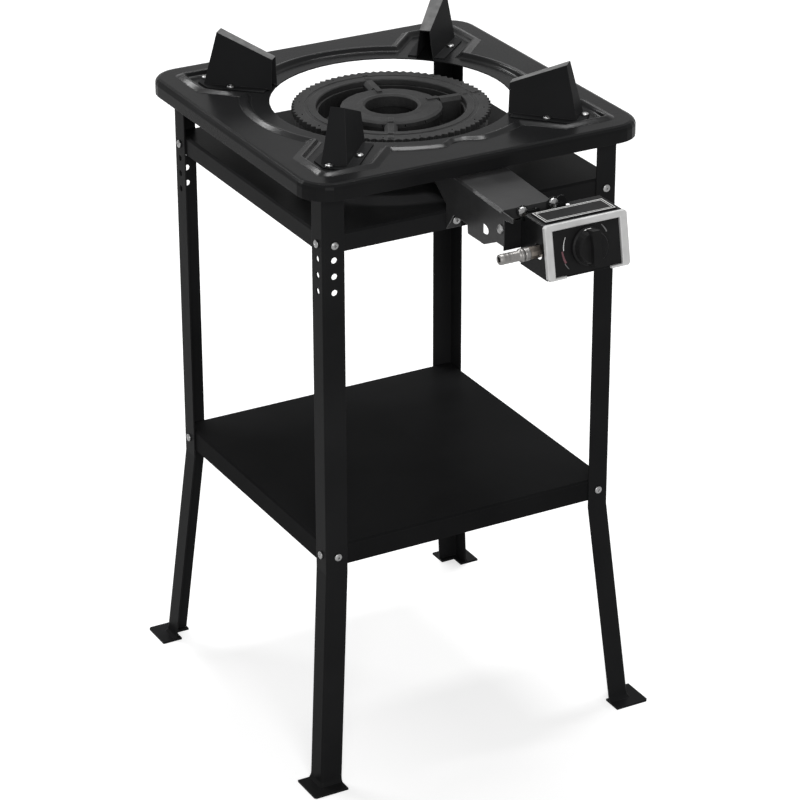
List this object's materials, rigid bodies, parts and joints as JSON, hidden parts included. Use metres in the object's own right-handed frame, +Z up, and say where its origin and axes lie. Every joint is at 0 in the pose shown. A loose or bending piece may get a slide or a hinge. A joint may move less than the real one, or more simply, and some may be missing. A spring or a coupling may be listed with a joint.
{
  "type": "stock pot range",
  "caption": "Free-standing gas stock pot range: cast ring burner in a square pressed plate with corner pot supports, splayed legs, shelf, and a front gas tap box.",
  "frame": {"origin": "on the floor, below the middle of the overall box", "axes": "+Z up, +X to the right of a person facing the knob, -Y is the side the controls face"},
  "size_m": [0.428, 0.5782, 0.7586],
  "materials": {
    "black_enamel": "smooth dark enamel, semi-gloss",
    "cast_iron": "painted grey-black cast iron, fine sand texture",
    "cover_steel": "dark grey stove paint, satin",
    "zinc_plated_steel": "bright zinc plate",
    "brass": "turned brass",
    "nickel_plate": "pale warm nickel plate on turned brass",
    "silver_trim": "satin silver moulding",
    "black_plastic": "moulded heat-resistant plastic, satin"
  },
  "bodies": {
    "stand": {"blank_name_plate": "black_plastic", "bracket_bolt_left": "zinc_plated_steel", "bracket_bolt_right": "zinc_plated_steel", "burner_body": "cast_iron", "burner_inner_cap": "cast_iron", "burner_outer_cap": "cast_iron", "control_box": "black_enamel", "cover_bolt_left": "zinc_plated_steel", "cover_bolt_right": "zinc_plated_steel", "cover_screw_left": "zinc_plated_steel", "cover_screw_right": "zinc_plated_steel", "dial_plate": "black_plastic", "drip_tray": "black_enamel", "gas_jet": "brass", "heat_cover": "cover_steel", "hose_nipple": "nickel_plate", "leg_back_left": "black_enamel", "leg_back_right": "black_enamel", "leg_front_left": "black_enamel", "leg_front_right": "black_enamel", "lower_shelf": "black_enamel", "panel_bezel": "silver_trim", "pot_support_back_left": "black_enamel", "pot_support_back_right": "black_enamel", "pot_support_front_left": "black_enamel", "pot_support_front_right": "black_enamel", "shelf_screw_back_left_end": "zinc_plated_steel", "shelf_screw_back_left_side": "zinc_plated_steel", "shelf_screw_back_right_end": "zinc_plated_steel", "shelf_screw_back_right_side": "zinc_plated_steel", "shelf_screw_front_left_end": "zinc_plated_steel", "shelf_screw_front_left_side": "zinc_plated_steel", "shelf_screw_front_right_end": "zinc_plated_steel", "shelf_screw_front_right_side": "zinc_plated_steel", "support_screw_back_left_inner": "zinc_plated_steel", "support_screw_back_left_outer": "zinc_plated_steel", "support_screw_back_right_inner": "zinc_plated_steel", "support_screw_back_right_outer": "zinc_plated_steel", "support_screw_front_left_inner": "zinc_plated_steel", "support_screw_front_left_outer": "zinc_plated_steel", "support_screw_front_right_inner": "zinc_plated_steel", "support_screw_front_right_outer": "zinc_plated_steel", "top_plate": "black_enamel", "tray_screw_back_left_end": "zinc_plated_steel", "tray_screw_back_left_side": "zinc_plated_steel", "tray_screw_back_right_end": "zinc_plated_steel", "tray_screw_back_right_side": "zinc_plated_steel", "tray_screw_front_left_end": "zinc_plated_steel", "tray_screw_front_left_side": "zinc_plated_steel", "tray_screw_front_right_end": "zinc_plated_steel", "tray_screw_front_right_side": "zinc_plated_steel", "valve_body": "brass", "valve_bonnet": "brass", "valve_bracket": "black_enamel"},
    "air_shutter": {"air_shutter": "zinc_plated_steel"},
    "valve_plug": {"valve_plug": "brass", "return_spring": "zinc_plated_steel"},
    "control_knob": {"knob": "black_plastic", "valve_spindle": "zinc_plated_steel"}
  },
  "joints": [
    {"name": "knob_turn", "type": "hinge", "parent": "stand", "child": "valve_plug", "pos_m": [0.037, -0.26115, 0.64498], "axis": [0, -0.9833, 0.1822], "range_deg": [0, 180]},
    {"name": "knob_push", "type": "slide", "parent": "valve_plug", "child": "control_knob", "axis": [0, 0.9833, -0.1822], "range_m": [0, 0.003], "stiffness_N_per_m": 2500},
    {"name": "air_shutter_turn", "type": "hinge", "parent": "stand", "child": "air_shutter", "pos_m": [0, -0.1729, 0.6543], "axis": [0, 1, 0], "range_deg": [0, 60]}
  ]
}
